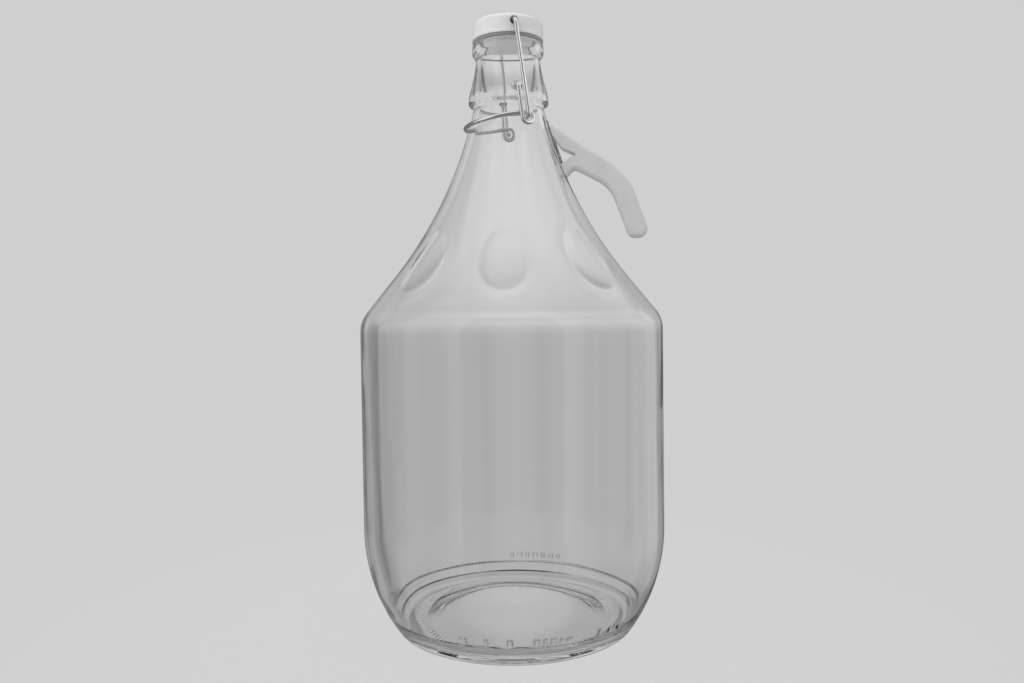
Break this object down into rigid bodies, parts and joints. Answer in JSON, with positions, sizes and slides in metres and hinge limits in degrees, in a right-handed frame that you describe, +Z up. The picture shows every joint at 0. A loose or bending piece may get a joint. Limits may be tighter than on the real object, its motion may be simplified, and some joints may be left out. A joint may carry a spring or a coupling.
{
  "type": "glass carboy",
  "caption": "Round blown-glass carboy with a sloping dented shoulder, a wire swing-top stopper on its neck and a plastic carrying hook.",
  "frame": {"origin": "centre of the foot ring, on the plane the carboy stands on", "axes": "+Z up along the bottle's axis, +X towards the carrying handle"},
  "size_m": [0.182, 0.182, 0.364],
  "materials": {
    "glass": "clear, fire polished, faint grey tint",
    "handle_plastic": "natural translucent, satin",
    "wire": "drawn galvanised wire, bright",
    "cap_plastic": "white, smooth",
    "gasket_rubber": "grey, matt"
  },
  "bodies": {
    "bottle": {"glass_bottle": "glass", "carry_handle": "handle_plastic"},
    "lever": {"lever_wire": "wire"},
    "bail": {"bail_wire": "wire"},
    "stopper": {"stopper_cap": "cap_plastic", "gasket": "gasket_rubber"}
  },
  "joints": [
    {"name": "lever_swing", "type": "hinge", "parent": "bottle", "child": "lever", "pos_m": [0.00048, 0.00014, 0.3215], "axis": [-0.2723, 0.9622, 0], "range_deg": [0, 80]},
    {"name": "bail_swing", "type": "hinge", "parent": "lever", "child": "bail", "pos_m": [0.00548, 0.00155, 0.302], "axis": [-0.2723, 0.9622, 0], "range_deg": [-53, 0]},
    {"name": "stopper_tilt", "type": "hinge", "parent": "bail", "child": "stopper", "pos_m": [-0.00048, -0.00014, 0.3588], "axis": [-0.2723, 0.9622, 0], "range_deg": [-28, 0]}
  ],
  "couplings": [
    {"joint": "bail_swing", "follows": "lever_swing", "ratio": -0.655},
    {"joint": "stopper_tilt", "follows": "lever_swing", "ratio": -0.345}
  ]
}
